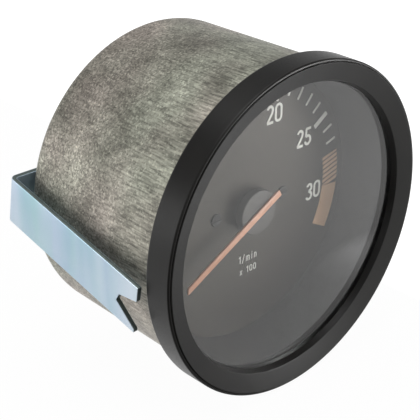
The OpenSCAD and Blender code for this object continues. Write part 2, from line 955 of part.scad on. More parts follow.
// Wedge lamp: a glass envelope with a flat glass foot
module lamp_bulb() {
    neck_y = lamp_front_y - 0.5;
    neck_r = bulb_r - 1;
    dome_y = neck_y - bulb_len + bulb_r;
    foot_back_y = lamp_floor_y - lay_gap;
    color("#f2ead2", 0.6)
        translate([0, 0, lamp_z])
            union() {
                translate([-bulb_foot_half_w, neck_y - 1, -bulb_foot_t / 2])
                    cube([2 * bulb_foot_half_w, foot_back_y - neck_y + 1, bulb_foot_t]);
                turned()
                    union() {
                        intersection() {
                            translate([0, dome_y])
                                circle(bulb_r);
                            translate([0, dome_y - bulb_r])
                                square([bulb_r, bulb_r]);
                        }
                        translate([0, dome_y])
                            square([bulb_r, bulb_len - bulb_r - 1]);
                        translate([0, neck_y - 2])
                            square([neck_r, 2]);
                    }
            }
}

// Plan outline of the strap: a bar with two legs and rounded bends
module strap_plan() {
    end_y = strap_t - leg_len - lower_lead - 1;
    translate([-leg_out_x + bend_r, 0])
        square([2 * (leg_out_x - bend_r), strap_t]);
    for (side = [-1, 1])
        scale([side, 1])
            union() {
                translate([leg_in_x, end_y])
                    square([strap_t, strap_t - bend_r - end_y]);
                translate([leg_out_x - bend_r, strap_t - bend_r])
                    intersection() {
                        difference() {
                            circle(bend_r);
                            circle(bend_in_r);
                        }
                        square(bend_r + 1);
                    }
            }
}

// Side outline of what is cut off the front of each leg: its notch, and its slightly slanted end
module leg_end_outline() {
    front_y = strap_t - leg_len;
    top = half_strap;
    upper_prong = 3.7;
    root_top = 5.65;
    root_bottom = 7.8;
    root_slant = 0.75;
    lower_mouth = strap_w - 0.9;
    lead = lower_lead / strap_w;
    reach = lower_lead + 3;
    polygon([
        [front_y - reach, top + 1],
        [front_y + lead, top + 1],
        [front_y - lead * upper_prong, top - upper_prong],
        [front_y + notch_depth - root_slant, top - root_top],
        [front_y + notch_depth, top - root_bottom],
        [front_y - lead * lower_mouth, top - lower_mouth],
        [front_y - lead * (strap_w + 1), top - strap_w - 1],
        [front_y - reach, top - strap_w - 1]
    ]);
}

// U-shaped strap of plated steel that pulls the bezel against the panel
module clamp_strap() {
    color("#b7cfd9")
        translate([0, bar_y, stud_z])
            rotate([strap_tilt, 0, 0])
                difference() {
                    translate([0, 0, -half_strap])
                        linear_extrude(strap_w)
                            strap_plan();
                    for (side = [-1, 1])
                        translate([side * stud_spacing / 2, 0, 0])
                            rod(strap_hole_r, -1, strap_t + 1);
                    translate([-leg_out_x - 1, 0, 0])
                        rotate([90, 0, 90])
                            linear_extrude(2 * leg_out_x + 2)
                                leg_end_outline();
                }
}

// Flat washers behind the strap
module washers() {
    color("#c9ccd0")
        at_studs()
            tube(washer_r, stud_r + 0.2, washer_y, washer_y + washer_t);
}

// Knurled thumb nut with a collar towards the strap
module knurled_nut() {
    grooves = 24;
    groove_r = 0.45;
    collar_h = 1.2;
    difference() {
        union() {
            rod(nut_r - 0.8, nut_y, nut_y + collar_h);
            rod(nut_r, nut_y + collar_h, nut_y + nut_h);
        }
        rod(stud_r + run_gap, nut_y - 1, nut_y + nut_h + 1);
        for (i = [0 : grooves - 1])
            at_clock(i * 360 / grooves, nut_r + groove_r * 0.3)
                rod(groove_r, nut_y + collar_h - 0.1, nut_y + nut_h + 1);
    }
}

// Nut on the stud at the left, seen from the front
module knurled_nut_left() {
    color("#d1b25f")
        translate([-stud_spacing / 2, 0, stud_z])
            knurled_nut();
}

// Nut on the stud at the right, seen from the front
module knurled_nut_right() {
    color("#d1b25f")
        translate([stud_spacing / 2, 0, stud_z])
            knurled_nut();
}

case();
bezel();
glass();
glass_gasket();
spacer_ring();
dial();
dial_scale();
dial_warning_band();
dial_screws();
light_box();
movement_plate();
stop_pins();
spring_stud();
hairspring();
coil_former_front();
coil_former_rear();
inner_coil();
outer_coil();
steel_cup();
front_bush();
rear_bush();
movement_posts();
movement_screws();
circuit_board();
converter_chip();
capacitors();
resistors();
case_posts();
board_screws();
case_screws();
terminal_block();
terminal_blades();
studs();
pointer();
pointer_hub();
counterweight();
spindle();
rotor_magnet();
spring_collet();
stop_arm();
lamp_holder();
lamp_contacts();
lamp_bulb();
clamp_strap();
washers();
knurled_nut_left();
knurled_nut_right();
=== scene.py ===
"""Looks of a panel tachometer: steel can, black spun bezel, dial under glass, pointer and clamp strap."""

import math

import bmesh
import bpy
from mathutils import Matrix, Vector


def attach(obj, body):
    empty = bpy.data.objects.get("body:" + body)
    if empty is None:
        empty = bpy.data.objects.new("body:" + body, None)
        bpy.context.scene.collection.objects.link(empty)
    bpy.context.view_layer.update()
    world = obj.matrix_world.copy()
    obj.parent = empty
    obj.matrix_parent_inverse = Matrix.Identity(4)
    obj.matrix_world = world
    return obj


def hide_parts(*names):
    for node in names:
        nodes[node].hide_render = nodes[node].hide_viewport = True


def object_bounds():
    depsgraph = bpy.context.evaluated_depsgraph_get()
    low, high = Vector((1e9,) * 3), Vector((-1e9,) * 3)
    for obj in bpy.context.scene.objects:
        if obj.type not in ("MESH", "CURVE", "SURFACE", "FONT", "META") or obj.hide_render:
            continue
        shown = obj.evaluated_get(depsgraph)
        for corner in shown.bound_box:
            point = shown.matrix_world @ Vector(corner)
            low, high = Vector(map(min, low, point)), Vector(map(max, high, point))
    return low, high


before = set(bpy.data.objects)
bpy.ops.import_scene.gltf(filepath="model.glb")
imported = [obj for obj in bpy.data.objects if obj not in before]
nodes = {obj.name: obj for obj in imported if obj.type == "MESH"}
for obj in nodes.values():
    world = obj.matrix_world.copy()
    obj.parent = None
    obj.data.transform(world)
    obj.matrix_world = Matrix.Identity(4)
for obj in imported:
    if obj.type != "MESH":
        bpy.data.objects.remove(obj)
cad_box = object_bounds()
MM = 0.001

# Drawn can. Galvanised sheet of 0.9 mm, deep-drawn in one stroke, with a flange that the bezel
# grips, and holes pierced through its back for the studs, screws, terminals and lamp.


def add(tree, kind, feeds=None, **settings):
    """Adds a node with its settings, and sets or links its inputs by name or number."""
    new = tree.nodes.new(kind)
    for name, value in settings.items():
        setattr(new, name, value)
    for name, value in (feeds or {}).items():
        socket = new.inputs[name] if isinstance(name, int) else next(
            s for s in new.inputs if s.name == name and s.enabled)
        if isinstance(value, bpy.types.Node):
            value = next(s for s in value.outputs if s.enabled)
        if isinstance(value, bpy.types.NodeSocket):
            tree.links.new(value, socket)
        else:
            socket.default_value = value
    return new


def colour(written):
    """Linear colour of an sRGB hex value."""
    parts = [int(written[i:i + 2], 16) / 255 for i in (1, 3, 5)]
    return [c / 12.92 if c <= 0.04045 else ((c + 0.055) / 1.055) ** 2.4 for c in parts] + [1.0]


def finish(name, dark, light, patch, rough, grain, relief, **plain):
    """Finish whose colour drifts from dark to light over patches of some mm, with a grain of some mm.

    rough is its least and most roughness, relief is the grain's height in mm, and plain holds
    values for the shader's own sockets. Returns the material, its tree, its shader and the noise of
    its patches.
    """
    made = bpy.data.materials.new(name)
    made.use_nodes = True
    tree = made.node_tree
    tree.nodes.clear()
    place = add(tree, "ShaderNodeTexCoord").outputs["Object"]
    clouds = add(tree, "ShaderNodeTexNoise", {"Vector": place, "Scale": 1 / (patch * MM), "Detail": 3.0})
    grains = add(tree, "ShaderNodeTexNoise", {"Vector": place, "Scale": 1 / (grain * MM), "Detail": 2.0})
    span = add(tree, "ShaderNodeMapRange", {"Value": clouds, "From Min": 0.3, "From Max": 0.7})
    tint = add(tree, "ShaderNodeMix", {"Factor": span, "A": colour(dark), "B": colour(light)},
               data_type="RGBA")
    gloss = add(tree, "ShaderNodeMapRange", {"Value": grains, "From Min": 0.3, "From Max": 0.7,
                                             "To Min": rough[0], "To Max": rough[1]})
    bump = add(tree, "ShaderNodeBump", {"Height": grains, "Distance": relief * MM, "Strength": 1.0})
    shader = add(tree, "ShaderNodeBsdfPrincipled", {"Base Color": tint, "Roughness": gloss, "Normal": bump})
    for socket, value in plain.items():
        shader.inputs[socket.replace("_", " ")].default_value = value
    add(tree, "ShaderNodeOutputMaterial", {"Surface": shader})
    return made, tree, shader, clouds


def rounded(corners, step=12):
    """Outline in mm whose corners, given as x, y and a radius, are turned into arcs.

    A point just before and after each arc keeps the flat faces beside it flat in their shading. Each
    straight piece of an arc turns about step degrees.
    """
    line = []
    for i, (x, y, *radius) in enumerate(corners):
        if not radius:
            line.append((x, y))
            continue
        corner = Vector((x, y))
        before = (Vector(corners[i - 1][:2]) - corner).normalized()
        after = (Vector(corners[(i + 1) % len(corners)][:2]) - corner).normalized()
        half = before.angle(after) / 2
        middle = corner + (before + after).normalized() * radius[0] / math.sin(half)
        first = corner + before * radius[0] / math.tan(half) - middle
        last = corner + after * radius[0] / math.tan(half) - middle
        turn = math.atan2(first.x * last.y - first.y * last.x, first.dot(last))
        count = max(2, round(abs(math.degrees(turn)) / step))
        spare = 0.1 * radius[0]
        line.append(tuple(middle + first + before * spare))
        for k in range(count + 1):
            line.append(tuple(middle + Matrix.Rotation(turn * k / count, 2) @ first))
        line.append(tuple(middle + last + after * spare))
    return line


def piece(name, mesh, material):
    """Object for a mesh, in the scene and with its finish."""
    made = bpy.data.objects.new(name, mesh)
    bpy.context.scene.collection.objects.link(made)
    if material:
        mesh.materials.append(material)
    return made


def settle(made, sharp=32):
    """Turns a piece with its modifiers into a plain closed mesh, smooth up to sharp degrees."""
    tree = bpy.context.evaluated_depsgraph_get()
    mesh = bpy.data.meshes.new_from_object(made.evaluated_get(tree))
    made.modifiers.clear()
    made.data = mesh
    form = bmesh.new()
    form.from_mesh(mesh)
    bmesh.ops.remove_doubles(form, verts=form.verts, dist=0.0005 * MM)
    bmesh.ops.dissolve_degenerate(form, edges=form.edges, dist=0.0002 * MM)
    bmesh.ops.holes_fill(form, edges=[e for e in form.edges if e.is_boundary])
    bmesh.ops.recalc_face_normals(form, faces=form.faces)
    form.to_mesh(mesh)
    form.free()
    mesh.polygons.foreach_set("use_smooth", [True] * len(mesh.polygons))
    mesh.set_sharp_from_angle(angle=math.radians(sharp))
    return made


def tree_with(name, **inputs):
    """Empty Geometry Nodes tree with a geometry input and the named inputs.

    Each named input is given as its socket type and its default.
    """
    tree = bpy.data.node_groups.new(name, "GeometryNodeTree")
    tree.interface.new_socket("Geometry", in_out="INPUT", socket_type="NodeSocketGeometry")
    tree.interface.new_socket("Geometry", in_out="OUTPUT", socket_type="NodeSocketGeometry")
    for label, (kind, value) in inputs.items():
        socket = tree.interface.new_socket(label.replace("_", " "), in_out="INPUT",
                                           socket_type="NodeSocket" + kind)
        if value is not None:
            socket.default_value = value
    return tree, add(tree, "NodeGroupInput")


def end_tree(tree, shape, start):
    """Closes a tree: real geometry, its finish, and the output."""
    real = add(tree, "GeometryNodeRealizeInstances", {"Geometry": shape})
    done = add(tree, "GeometryNodeSetMaterial", {"Geometry": real, "Material": start.outputs["Material"]})
    add(tree, "NodeGroupOutput", {"Geometry": done})


def grow(made, tree, material, **inputs):
    """Puts a tree on a piece with its inputs, set by each socket's identifier."""
    modifier = made.modifiers.new(tree.name, "NODES")
    modifier.node_group = tree
    wanted = {label.replace("_", " "): value for label, value in inputs.items()}
    wanted["Material"] = material
    for item in tree.interface.items_tree:
        if item.in_out == "INPUT" and item.name in wanted:
            modifier[item.identifier] = wanted[item.name]
    return made


# Turned form: the outline, drawn as radius and depth, goes once round the Y axis.
turning, start = tree_with("Turned form", Segments=("Int", 192), Material=("Material", None))
path_r = 10 * MM
outline = add(turning, "GeometryNodeMeshToCurve", {"Mesh": start.outputs["Geometry"]})
outline = add(turning, "GeometryNodeTransform", {"Geometry": outline, "Translation": (-path_r, 0, 0)})
path = add(turning, "GeometryNodeCurvePrimitiveCircle",
           {"Resolution": start.outputs["Segments"], "Radius": path_r})
shell = add(turning, "GeometryNodeCurveToMesh", {"Curve": path, "Profile Curve": outline})
shell = add(turning, "GeometryNodeTransform", {"Geometry": shell, "Rotation": (-math.pi / 2, 0, 0)})
end_tree(turning, shell, start)


def turned(name, corners, material, segments=192, closed=True):
    """Piece turned round the Y axis from corners of radius, depth and corner radius in mm."""
    line = rounded(corners)
    edges = [(i, i + 1) for i in range(len(line) - 1)] + [(len(line) - 1, 0)] * closed
    mesh = bpy.data.meshes.new(name)
    mesh.from_pydata([(r * MM, -y * MM, 0) for r, y in line], edges, [])
    return settle(grow(piece(name, mesh, None), turning, material, Segments=segments))


def prism(name, corners, low, high, material, turn=Matrix.Identity(4)):
    """Piece with a plain outline in mm, from low to high along its third axis, then placed by turn."""
    form = bmesh.new()
    face = form.faces.new([form.verts.new((x * MM, y * MM, low * MM)) for x, y in rounded(corners)])
    top = bmesh.ops.extrude_face_region(form, geom=[face])["geom"]
    bmesh.ops.translate(form, verts=[v for v in top if isinstance(v, bmesh.types.BMVert)],
                        vec=(0, 0, (high - low) * MM))
    bmesh.ops.transform(form, matrix=turn, verts=form.verts)
    bmesh.ops.recalc_face_normals(form, faces=form.faces)
    mesh = bpy.data.meshes.new(name)
    form.to_mesh(mesh)
    form.free()
    return piece(name, mesh, material)


def rod(radius, y0, y1, x=0, z=0):
    """Plain round cutter along Y, in mm."""
    made = turned("cutter", [(0, y0), (radius, y0), (radius, y1), (0, y1)], None, 64, False)
    made.data.transform(Matrix.Translation((x * MM, 0, z * MM)))
    return made


def block(x, y, z):
    """Plain box-shaped cutter, each side given as its two ends in mm."""
    return prism("cutter", [(x[0], y[0]), (x[1], y[0]), (x[1], y[1]), (x[0], y[1])], z[0], z[1], None)


def cut(made, cutters, edge=0.0, segments=2, sharp=32):
    """Cuts a piece, breaks its sharp edges by edge mm, and settles it."""
    for cutter in cutters:
        slice_off = made.modifiers.new("Cut", "BOOLEAN")
        slice_off.operation = "DIFFERENCE"
        slice_off.solver = "EXACT"
        slice_off.object = cutter
    if edge:
        soft = made.modifiers.new("Edges", "BEVEL")
        soft.width = edge * MM
        soft.segments = segments
        soft.limit_method = "ANGLE"
        soft.angle_limit = math.radians(sharp)
    settle(made, sharp)
    for cutter in cutters:
        bpy.data.objects.remove(cutter)
    return made


def dress(material, *names):
    """Gives CAD nodes their finish."""
    for name in names:
        slots = nodes[name].data.materials
        for i in range(max(1, len(slots))):
            if slots:
                slots[i] = material
            else:
                slots.append(material)


# Galvanised steel: zinc crystals in different greys, among short hairs, over cloudy patches of 9 mm
# with a warm or a greenish cast, and lines of the draw near the can's mouth. The palest crystals are painted
# lighter still, as painted glints.
# Real crystals, hairs and lines are finer. They are drawn as coarse as they need to show.
crystal_w, hair_w, line_w, cast_w = 0.45 * MM, 0.7 * MM, 0.5 * MM, 28 * MM
lines_strong_y, lines_weak_y = 2 * MM, 30 * MM
galvanised, tree, shader, _ = finish(
    "galvanised_steel", "#82807a", "#b1afa8", 9.0, (0.36, 0.58), 0.4, 0.03, Metallic=0.7)
place = add(tree, "ShaderNodeTexCoord").outputs["Object"]
broad = add(tree, "ShaderNodeTexNoise", {"Vector": place, "Scale": 1 / cast_w, "Detail": 2.0})
warmth = add(tree, "ShaderNodeMapRange", {"Value": broad, "From Min": 0.35, "From Max": 0.65})
cast = add(tree, "ShaderNodeMix", {"Factor": warmth, "A": colour("#f6fbf0"), "B": colour("#fff6f2")},
           data_type="RGBA")
stretch = add(tree, "ShaderNodeMapping", {"Vector": place, "Scale": (1, 0.12, 1)})
streaks = add(tree, "ShaderNodeTexNoise", {"Vector": stretch, "Scale": 1 / line_w, "Detail": 2.0})
depth = add(tree, "ShaderNodeSeparateXYZ", {"Vector": place}).outputs["Y"]
hairs = add(tree, "ShaderNodeTexNoise", {"Vector": place, "Scale": 1 / hair_w, "Detail": 3.0,
                                         "Distortion": 2.5})
crystals = add(tree, "ShaderNodeTexVoronoi", {"Vector": place, "Scale": 1 / crystal_w})
grey = add(tree, "ShaderNodeSeparateColor", {"Color": crystals.outputs["Color"]}).outputs["Red"]
grainy = add(tree, "ShaderNodeMix", {"Factor": 0.7, "A": grey, "B": hairs}, data_type="FLOAT")
near_mouth = add(tree, "ShaderNodeMapRange", {"Value": depth, "From Min": lines_strong_y,
                                              "From Max": lines_weak_y, "To Min": 0.8, "To Max": 0.25})
mixed = add(tree, "ShaderNodeMix", {"Factor": near_mouth, "A": grainy, "B": streaks}, data_type="FLOAT")
shade = add(tree, "ShaderNodeMapRange", {"Value": mixed, "From Min": 0.36, "From Max": 0.64,
                                         "To Min": 0.5, "To Max": 1.44})
# Painted glints: the palest crystals are made lighter in colour, standing in for their sparkle.
bright = add(tree, "ShaderNodeMapRange", {"Value": grey, "From Min": 0.86, "From Max": 0.95,
                                          "To Min": 0.0, "To Max": 0.3})
shade = add(tree, "ShaderNodeMath", {0: shade, 1: bright}, operation="ADD")
tint = shader.inputs["Base Color"].links[0].from_socket
warmed = add(tree, "ShaderNodeVectorMath", {0: tint, 1: cast}, operation="MULTIPLY")
toned = add(tree, "ShaderNodeVectorMath", {0: warmed.outputs["Vector"], "Scale": shade}, operation="SCALE")
tree.links.new(toned.outputs["Vector"], shader.inputs["Base Color"])
bump = shader.inputs["Normal"].links[0].from_node
tree.links.new(next(s for s in mixed.outputs if s.enabled), bump.inputs["Height"])

can_r, can_in_r, can_back, can_inside, can_front = 40.1, 39.2, 47.3, 46.4, -1.8
flange_r, flange_back = 41.3, -0.9
stud_x, stud_z, lamp_z, terminal_z = 16, 2.7, 24, -20.0
screw_ring, screw_ways = 29.8, [math.radians(degrees) for degrees in (120, 180, 240)]
screw_places = [(screw_ring * math.sin(way), screw_ring * math.cos(way)) for way in screw_ways]
can = turned("can", [
    (0, can_inside), (can_in_r, can_inside, 2.5), (can_in_r, can_front, 0.5), (flange_r, can_front, 0.1),
    (flange_r, flange_back, 0.1), (can_r, flange_back, 0.2), (can_r, can_back, 3.4), (0, can_back)],
    galvanised, 256, False)
near, beyond = 45, 49
stud_hole_r, screw_hole_r, lamp_hole_r, window_half_w, window_half_h = 2.05, 1.4, 6.05, 16.85, 4.35
holes = [rod(stud_hole_r, near, beyond, side * stud_x, stud_z) for side in (-1, 1)]
holes += [rod(screw_hole_r, near, beyond, x, z) for x, z in screw_places]
holes += [rod(lamp_hole_r, near, beyond, 0, lamp_z),
          block((-window_half_w, window_half_w), (near, beyond),
                (terminal_z - window_half_h, terminal_z + window_half_h))]
can = cut(can, holes)
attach(can, "housing")
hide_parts("case")

# Spun bezel. Steel sheet rolled over the can's flange behind, with a fine step between its rim
# and the front ring, which dips to the opening and turns in to hold the glass.

# Stoved black enamel: an even, slightly warm black with a soft satin gloss.
enamel = finish("black_enamel", "#100f0e", "#161513", 8.0, (0.3, 0.42), 0.35, 0.002,
                Specular_IOR_Level=0.3)[0]
rolled_r, rim_r, inside_r, opening_r = 40.4, 42.5, 41.5, 37
grip_r = opening_r - 0.6
glass_front, glass_back, gasket_back = -4.65, -2.6, -2.0
bezel = turned("bezel_ring", [
    (rolled_r, 0, 0.15), (rim_r, 0, 0.8), (rim_r - 0.12, -7.45, 0.45), (41.8, -7.5, 0.08),
    (41.65, -7.25, 0.06), (inside_r, -7.75, 0.12), (opening_r, -6.28, 0.25), (grip_r, glass_front, 0.08),
    (37.3, glass_front), (37.75, -5.75, 0.2), (40.9, -6.75, 0.2), (inside_r, -6.4, 0.3),
    (inside_r, flange_back, 0.2), (rolled_r, flange_back)], enamel, 256)
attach(bezel, "housing")
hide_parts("bezel")

# Glass and its gasket. A disc of flat float glass, about 2 mm thick, lies behind the opening. The
# bezel presses it on a rubber ring, whose outer lip fills the room in front of the can's flange.

# Float glass: clear, colourless and as smooth as a mirror. Shadow rays pass it.
pane, tree, shader, _ = finish("float_glass", "#fbfdfc", "#ffffff", 30.0, (0.0, 0.004), 9.0, 0.0,
                                Transmission_Weight=1.0, IOR=1.52)
output = next(n for n in tree.nodes if n.type == "OUTPUT_MATERIAL")
clear = add(tree, "ShaderNodeBsdfTransparent")
ray = add(tree, "ShaderNodeLightPath")
through = add(tree, "ShaderNodeMixShader", {0: ray.outputs["Is Shadow Ray"], 1: shader, 2: clear})
tree.links.new(through.outputs[0], output.inputs["Surface"])
glass_r = 38.9
glass = turned("front_glass", [
    (0, glass_front), (glass_r, glass_front, 0.15), (glass_r, glass_back, 0.15), (0, glass_back)],
    pane, 192, False)
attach(glass, "housing")
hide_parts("glass")

# Black rubber: matt and even.
rubber = finish("black_rubber", "#1d1d1c", "#282827", 4.0, (0.6, 0.75), 0.3, 0.01)[0]
gasket_in_r, seat_r, lip_r, lip_front, lip_back = 36.2, 38.95, 41.2, -4.5, -1.85
gasket = turned("rubber_ring", [
    (gasket_in_r, glass_back, 0.15), (seat_r, glass_back), (seat_r, lip_front), (lip_r, lip_front, 0.2),
    (lip_r, lip_back, 0.1), (39.15, lip_back), (39.15, gasket_back), (gasket_in_r, gasket_back, 0.15)],
    rubber, 192)
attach(gasket, "housing")
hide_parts("glass_gasket")

# Spacer ring. A moulded ring keeps the dial at its depth behind the glass. Its inner face tapers
# towards the dial, so that it frames the scale.

# Black moulding: matt plastic with hardly any texture.
moulding = finish("black_moulding", "#1c1b1a", "#242322", 6.0, (0.45, 0.6), 0.25, 0.003)[0]
spacer_r, dial_face = 39.0, 11.4
ring = turned("spacer", [
    (gasket_in_r, gasket_back, 0.2), (spacer_r, gasket_back, 0.1), (spacer_r, dial_face, 0.1),
    (34.7, dial_face, 0.15)], moulding, 256)
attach(ring, "housing")
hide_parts("spacer_ring")

# Dial. Aluminium sheet, screen-printed with a charcoal ground, white marks and numbers, and an
# orange band. The ink stands a tenth of a millimetre proud.

# Dial paint: a warm charcoal with a semi-gloss. White and orange ink: matt and chalky.
ground = finish("dial_paint", "#1d1b18", "#23201c", 14.0, (0.3, 0.34), 6.0, 0.0, Specular_IOR_Level=0.5,
                Specular_Tint=colour("#fff4e4"))[0]
dress(ground, "dial")
white_ink = finish("white_ink", "#bdbdb6", "#c9c9c2", 5.0, (0.55, 0.7), 0.2, 0.001)[0]
dress(white_ink, "dial_scale")
orange_ink = finish("orange_ink", "#ab896a", "#b49274", 5.0, (0.55, 0.7), 0.2, 0.001)[0]
dress(orange_ink, "dial_warning_band")

ink_height = 0.1

# Printed stroke: a flat ribbon of ink along each line of the mesh.
inking, start = tree_with("Printed stroke", Width=("Float", 0.6 * MM), Height=("Float", 0.1 * MM),
                          Material=("Material", None))
line = add(inking, "GeometryNodeMeshToCurve", {"Mesh": start.outputs["Geometry"]})
line = add(inking, "GeometryNodeSetCurveNormal", {"Curve": line})
pen = add(inking, "GeometryNodeCurvePrimitiveQuadrilateral",
          {"Width": start.outputs["Width"], "Height": start.outputs["Height"]})
ribbon = add(inking, "GeometryNodeCurveToMesh", {"Curve": line, "Profile Curve": pen, "Fill Caps": True})
end_tree(inking, ribbon, start)


def arc(x, y, rx, ry, first, last):
    """Points of an oval arc round x, y, from first to last degrees, anticlockwise from the right."""
    count = max(4, round(abs(last - first) / 12))
    angles = [math.radians(first + (last - first) * i / count) for i in range(count + 1)]
    return [(x + rx * math.cos(a), y + ry * math.sin(a)) for a in angles]


# Strokes of each sign, in parts of its height, from its left foot. The last number is its width.
signs = {
    "0": ([arc(0.24, 0.73, 0.197, 0.2, 0, 180) + arc(0.24, 0.27, 0.197, 0.2, 180, 360) + [(0.437, 0.73)]],
          0.48),
    "1": ([[(0.3, 0), (0.3, 1)], [(0.31, 0.95), (0.08, 0.76)]], 0.42),
    "2": ([arc(0.23, 0.74, 0.18, 0.19, 165, -20) + [(0.36, 0.55), (0.05, 0.09)],
           [(0.03, 0.07), (0.46, 0.07)]], 0.48),
    "3": ([arc(0.22, 0.74, 0.17, 0.19, 160, -75) + [(0.18, 0.55)],
           [(0.18, 0.53)] + arc(0.21, 0.27, 0.2, 0.21, 75, -160)], 0.47),
    "5": ([[(0.44, 0.93), (0.1, 0.93)], [(0.11, 0.96), (0.08, 0.5)],
           arc(0.23, 0.3, 0.2, 0.235, 135, -165)], 0.48),
    "m": ([[(0.08, 0), (0.08, 0.7)], arc(0.21, 0.55, 0.13, 0.12, 180, 0) + [(0.34, 0)],
           arc(0.47, 0.55, 0.13, 0.12, 180, 0) + [(0.6, 0)]], 0.7),
    "i": ([[(0.08, 0), (0.08, 0.7)], [(0.08, 0.86), (0.08, 0.98)]], 0.2),
    "n": ([[(0.08, 0), (0.08, 0.7)], arc(0.23, 0.52, 0.15, 0.15, 180, 0) + [(0.38, 0)]], 0.48),
    "x": ([[(0.03, 0), (0.42, 0.7)], [(0.03, 0.7), (0.42, 0)]], 0.45),
    "/": ([[(0.0, -0.1), (0.32, 1.05)]], 0.36),
    " ": ([], 0.3),
}


def lettering(name, rows, stroke):
    """Lines of signs in ink, each given as its text, height, space and middle on the dial in mm."""
    points, edges = [], []
    for text, height, space, x, z in rows:
        wide = sum(signs[c][1] * height for c in text) + space * (len(text) - 1)
        left = x - wide / 2
        for c in text:
            for run in signs[c][0]:
                edges += [(len(points) + i, len(points) + i + 1) for i in range(len(run) - 1)]
                points += [((left + px * height) * MM, (z + (pz - 0.5) * height) * MM, 0) for px, pz in run]
            left += signs[c][1] * height + space
    mesh = bpy.data.meshes.new(name)
    mesh.from_pydata(points, edges, [])
    made = settle(grow(piece(name, mesh, None), inking, white_ink, Width=stroke * MM, Height=ink_height * MM))
    on_dial = Matrix.Translation((0, (dial_face - ink_height / 2) * MM, 0))
    made.data.transform(on_dial @ Matrix.Rotation(math.pi / 2, 4, "X"))
    return made


number_h, number_space, number_stroke, unit_stroke = 4.95, 0.54, 0.66, 0.2
number_places = {5: (-23.54, -3.52), 10: (-20.59, 11.94), 15: (-8.65, 22.17), 20: (7.65, 23.15),
                 25: (18.93, 13.65), 30: (23.55, -2.55)}
numbers = lettering("dial_numbers", [
    (str(count), number_h, number_space, x, z) for count, (x, z) in number_places.items()], number_stroke)
units = lettering("dial_units", [
    ("1/min", 2.1, 0.5, -0.25, -13.7), ("x 100", 1.9, 0.42, -0.05, -17.25)], unit_stroke)
for ink in (numbers, units):
    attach(ink, "housing")

# Screws. Turned steel with a slotted pan head. Two small black ones hold the dial on the light box,
# and three plated ones hold the works at the can's back.

# Zinc-plated steel: pale grey metal with a low shine.
plated_steel = finish("plated_screw_steel", "#a3a5a4", "#b8bab8", 2.0, (0.25, 0.4), 0.15, 0.002,
                      Metallic=1.0)[0]

# Repeated fixing: the piece stands at a first place, and again after each step and turn about Y.
repeating, start = tree_with("Repeated fixing", Count=("Int", 2), First=("Vector", (0, 0, 0)),
                             Step=("Vector", (0, 0, 0)), Turn=("Float", 0.0), Material=("Material", None))
points = add(repeating, "GeometryNodeMeshLine", {"Count": start.outputs["Count"], "Offset": (0, 0, 0)})
number = add(repeating, "GeometryNodeInputIndex")
angle = add(repeating, "ShaderNodeMath", {0: number, 1: start.outputs["Turn"]}, operation="MULTIPLY")
swung = add(repeating, "ShaderNodeVectorRotate", {"Vector": start.outputs["First"], "Angle": angle},
            rotation_type="Y_AXIS")
along = add(repeating, "ShaderNodeVectorMath", {0: start.outputs["Step"], "Scale": number}, operation="SCALE")
where = add(repeating, "ShaderNodeVectorMath", {0: swung, 1: along}, operation="ADD")
points = add(repeating, "GeometryNodeSetPosition", {"Geometry": points, "Position": where.outputs["Vector"]})
spread = add(repeating, "GeometryNodeInstanceOnPoints",
             {"Points": points, "Instance": start.outputs["Geometry"]})
end_tree(repeating, spread, start)


def repeated(made, count, first, step=(0, 0, 0), turn=0.0):
    """Repeats a settled piece; first and step are in mm, turn in degrees."""
    material = made.data.materials[0]
    grow(made, repeating, material, Count=count, First=[c * MM for c in first], Step=[c * MM for c in step],
         Turn=math.radians(turn))
    return settle(made)


def slotted_screw(name, head_r, head_t, shank_r, length, slot_w, way, material):
    """Screw whose head stands in front of y = 0 and its shank behind, or the other way round."""
    made = turned(name, [
        (0, -head_t * way), (head_r, -head_t * way, head_t * 0.45), (head_r, 0, head_t * 0.12), (shank_r, 0),
        (shank_r, length * way, 0.2), (0, length * way)], material, 48, False)
    slot = sorted((-head_t * 1.5 * way, -head_t * 0.5 * way))
    return cut(made, [block((-head_r * 1.2, head_r * 1.2), slot, (-slot_w / 2, slot_w / 2))], 0.05)


# Black-passivated zinc: nearly black, with a soft gleam on the rim of each head.
black_zinc = finish("black_zinc", "#262524", "#31302e", 2.0, (0.4, 0.55), 0.15, 0.002, Metallic=0.5)[0]
screw_x, screw_z = 11.5, 0.7
dial_screws = slotted_screw("dial_fixing_screws", head_r=1.7, head_t=0.5, shank_r=0.95, length=4.9,
                            slot_w=0.48, way=1, material=black_zinc)
dial_screws = repeated(dial_screws, 2, (-screw_x, dial_face, screw_z), (2 * screw_x, 0, 0))
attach(dial_screws, "housing")
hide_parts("dial_screws")

case_screws = slotted_screw("back_screws", head_r=2.4, head_t=1.4, shank_r=0.95, length=3.4,
                            slot_w=0.67, way=-1, material=plated_steel)
case_screws = repeated(case_screws, 3, (screw_places[0][0], can_back, screw_places[0][1]), turn=60)
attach(case_screws, "housing")
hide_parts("case_screws")

# Pointer and hub. The pointer is a thin moulded bar, painted orange. A moulded hub behind it presses
# it on the spindle and hides its counterweight.

# Orange paint: a bright, slightly pale orange with a satin gloss.
orange_paint = finish("pointer_paint", "#a8775c", "#b3836a", 3.0, (0.4, 0.55), 0.15, 0.001)[0]
pointer_y, pointer_t, rest = 7.4, 0.6, math.radians(-118)
tail, reach, tail_half, tip_half = -7.7, 27.5, 0.95, 0.81
pointer = prism(
    "pointer_needle", [(-tail_half, tail), (tail_half, tail), (tip_half, reach - 0.8), (-tip_half, reach)],
    0, pointer_t, orange_paint,
    Matrix.Rotation(rest, 4, "Y") @ Matrix.Translation((0, (pointer_y + pointer_t) * MM, 0))
    @ Matrix.Rotation(math.pi / 2, 4, "X"))
pointer = cut(pointer, [], 0.12)
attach(pointer, "moving_system")
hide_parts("pointer")

